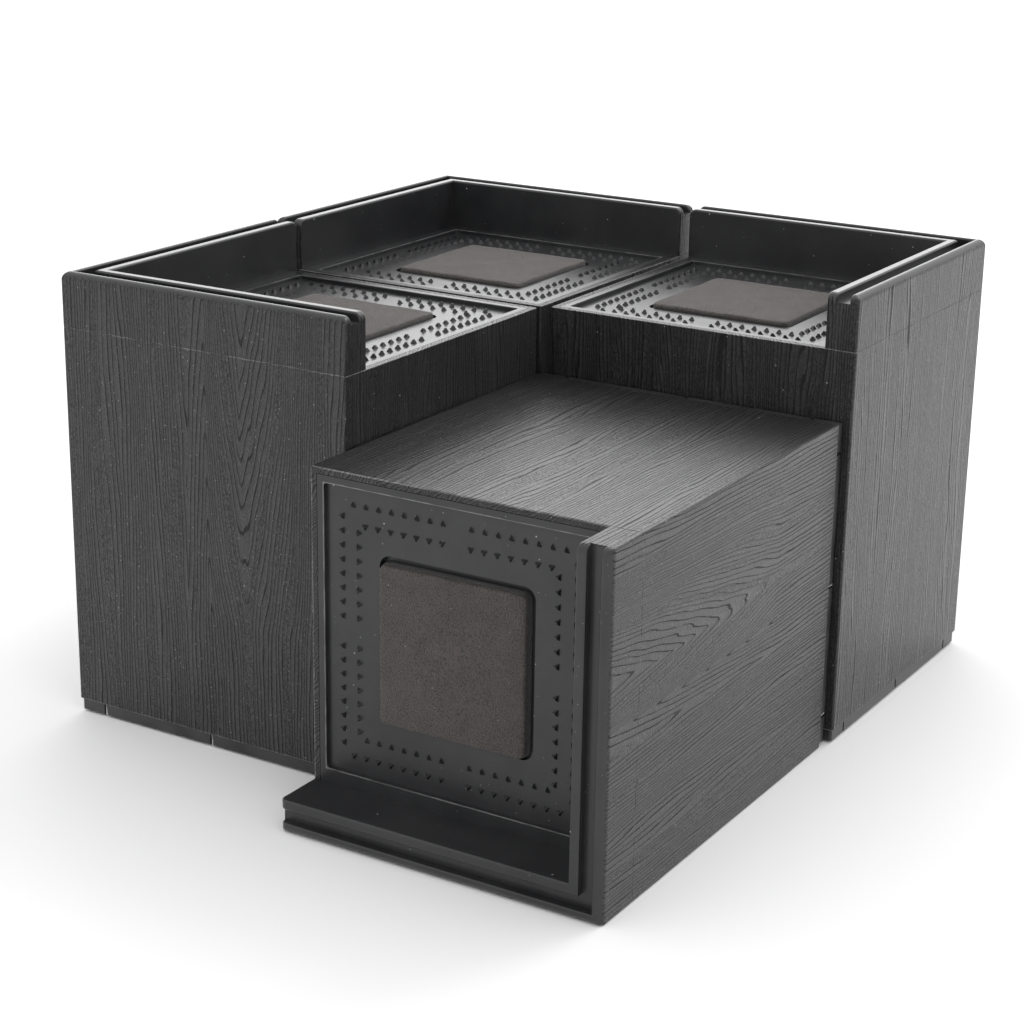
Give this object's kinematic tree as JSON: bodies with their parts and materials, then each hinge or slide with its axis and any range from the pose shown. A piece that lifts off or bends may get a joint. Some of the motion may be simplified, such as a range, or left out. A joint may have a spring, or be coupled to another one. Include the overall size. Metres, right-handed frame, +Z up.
{
  "type": "furniture riser set",
  "caption": "Square furniture risers grouped as a block, with fenced platforms, grip studs and foam pads; upright risers stand beside a riser laid on its side.",
  "frame": {"origin": "on the floor, under the middle of the group's bounding box", "axes": "+Y away from the lying riser's platform, +X towards the side of the lying riser, +Z up"},
  "size_m": [0.2574, 0.3006, 0.173],
  "materials": {
    "grained_casing": "matte, moulded wood grain",
    "platform_plastic": "satin, smooth inside and grained outside",
    "rib_plastic": "plain moulded",
    "base_plastic": "plain moulded",
    "foot_foam": "closed-cell foam",
    "pad_foam": "closed-cell foam, fine open skin"
  },
  "bodies": {
    "back_riser": {"back_casing": "grained_casing", "back_platform_cap": "platform_plastic", "back_rib_core": "rib_plastic", "back_base_plate": "base_plastic", "back_foot_pads": "foot_foam", "back_foam_pad": "pad_foam"},
    "left_riser": {"left_casing": "grained_casing", "left_platform_cap": "platform_plastic", "left_rib_core": "rib_plastic", "left_base_plate": "base_plastic", "left_foot_pads": "foot_foam", "left_foam_pad": "pad_foam"},
    "right_riser": {"right_casing": "grained_casing", "right_platform_cap": "platform_plastic", "right_rib_core": "rib_plastic", "right_base_plate": "base_plastic", "right_foot_pads": "foot_foam", "right_foam_pad": "pad_foam"},
    "front_riser": {"front_casing": "grained_casing", "front_platform_cap": "platform_plastic", "front_rib_core": "rib_plastic", "front_base_plate": "base_plastic", "front_foot_pads": "foot_foam", "front_foam_pad": "pad_foam"}
  },
  "joints": [
    {"name": "left_riser_slide", "type": "slide", "parent": "back_riser", "child": "left_riser", "axis": [-1, 0, 0], "range_m": [0, 0.15]},
    {"name": "right_riser_slide", "type": "slide", "parent": "back_riser", "child": "right_riser", "axis": [1, 0, 0], "range_m": [0, 0.15]},
    {"name": "front_riser_slide", "type": "slide", "parent": "back_riser", "child": "front_riser", "axis": [0, -1, 0], "range_m": [0, 0.15]}
  ]
}
